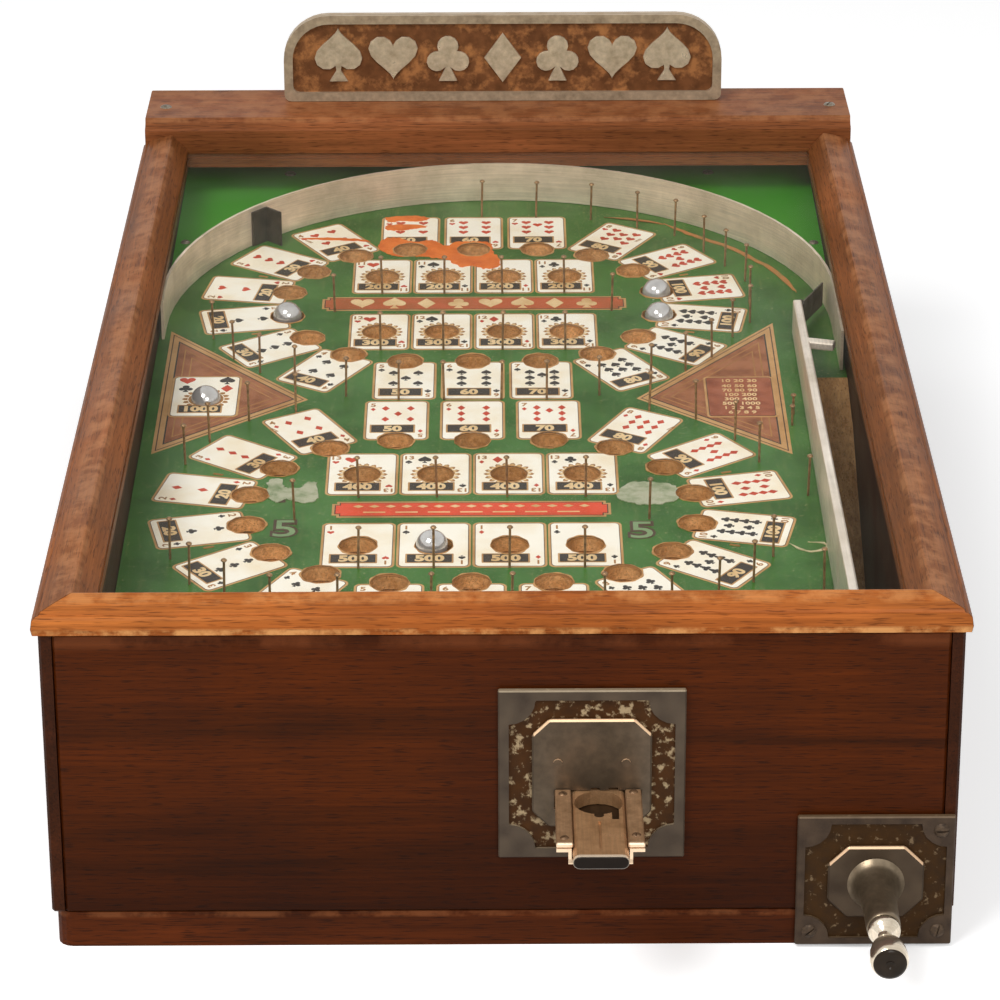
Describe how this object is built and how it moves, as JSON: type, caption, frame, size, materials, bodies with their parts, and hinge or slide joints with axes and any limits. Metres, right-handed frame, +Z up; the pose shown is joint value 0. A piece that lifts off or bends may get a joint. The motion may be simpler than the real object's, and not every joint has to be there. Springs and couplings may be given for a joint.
{
  "type": "pinball machine",
  "caption": "Countertop coin-operated pin game: wood cabinet with glazed lid, sloping pocketed playfield, arch rail, coin slide, shuttle board and spring plunger.",
  "frame": {"origin": "middle of the base board's underside, where the machine stands", "axes": "+X to the player's right, +Y from the player to the back of the cabinet, +Z up"},
  "size_m": [0.412, 0.7926, 0.2306],
  "materials": {
    "walnut": "dark stained walnut, satin varnish with wear",
    "mahogany": "stained mahogany, satin varnish",
    "plain_wood": "plain unfinished wood",
    "green_paint": "green painted face with printed cards",
    "brass": "dull brass",
    "cast_aluminium": "worn aluminium",
    "old_steel": "aged dark steel",
    "nickel": "warm worn nickel plate",
    "chrome": "bright chrome",
    "ball_steel": "polished steel",
    "clear_glass": "clear sheet glass"
  },
  "bodies": {
    "cabinet": {"arch_rail": "cast_aluminium", "arch_stop": "old_steel", "back_panel": "walnut", "ball_tray": "plain_wood", "base_board": "walnut", "cash_box": "old_steel", "coin_chute": "nickel", "coin_guide_left": "nickel", "coin_guide_right": "nickel", "coin_panel": "old_steel", "coin_plate": "old_steel", "front_panel": "walnut", "gate_pin": "old_steel", "hinge_leaf_lower": "old_steel", "hinge_pin": "old_steel", "lane_ball": "ball_steel", "lane_divider": "cast_aluminium", "lane_ramp": "plain_wood", "lane_wall": "plain_wood", "left_side_panel": "walnut", "playfield_board": "plain_wood", "playfield_cleat_left": "plain_wood", "playfield_cleat_right": "plain_wood", "playfield_face": "green_paint", "plunger_bush": "brass", "plunger_panel": "old_steel", "plunger_plate": "old_steel", "plunger_sleeve": "old_steel", "plunger_spring": "nickel", "pocket_ball_1": "ball_steel", "pocket_ball_2": "ball_steel", "pocket_ball_3": "ball_steel", "pocket_ball_4": "ball_steel", "pocket_ball_5": "ball_steel", "right_side_panel": "walnut", "shuttle_runner_left": "plain_wood", "shuttle_runner_right": "plain_wood", "shuttle_spring": "nickel", "slide_spring": "nickel", "tray_ball": "ball_steel", "tray_cleat_left": "plain_wood", "tray_cleat_right": "plain_wood"},
    "lid": {"front_rail": "walnut", "left_rail": "walnut", "right_rail": "walnut", "back_board": "mahogany", "glass": "clear_glass", "header_plate": "cast_aluminium", "hinge_leaf_upper": "old_steel"},
    "coin_slide": {"coin_slide": "nickel"},
    "shuttle": {"shuttle_board": "plain_wood"},
    "gate": {"gate_leaf": "old_steel"},
    "plunger": {"plunger_rod": "nickel", "plunger_knob": "chrome"}
  },
  "joints": [
    {"name": "lid_hinge", "type": "hinge", "parent": "cabinet", "child": "lid", "pos_m": [0, 0.3577, 0.15665], "axis": [-1, 0, 0], "range_deg": [0, 95]},
    {"name": "coin_slide_push", "type": "slide", "parent": "cabinet", "child": "coin_slide", "axis": [0, 1, 0], "range_m": [0, 0.052], "stiffness_N_per_m": 60, "springref_m": -0.005, "deforming": ["slide_spring"]},
    {"name": "shuttle_slide", "type": "slide", "parent": "cabinet", "child": "shuttle", "axis": [0, 0.9987, 0.0506], "range_m": [0, 0.016], "stiffness_N_per_m": 60, "springref_m": -0.01, "deforming": ["shuttle_spring"]},
    {"name": "gate_swing", "type": "hinge", "parent": "cabinet", "child": "gate", "pos_m": [0.1629, 0.09662, 0.12223], "axis": [0, -0.0506, 0.9987], "range_deg": [0, 50], "stiffness_Nm_per_rad": 0.002},
    {"name": "plunger_pull", "type": "slide", "parent": "cabinet", "child": "plunger", "axis": [0, -1, 0], "range_m": [0, 0.038], "stiffness_N_per_m": 250, "springref_m": -0.01, "deforming": ["plunger_spring"]}
  ],
  "couplings": [
    {"joint": "shuttle_slide", "follows": "coin_slide_push", "ratio": 0.30768}
  ]
}
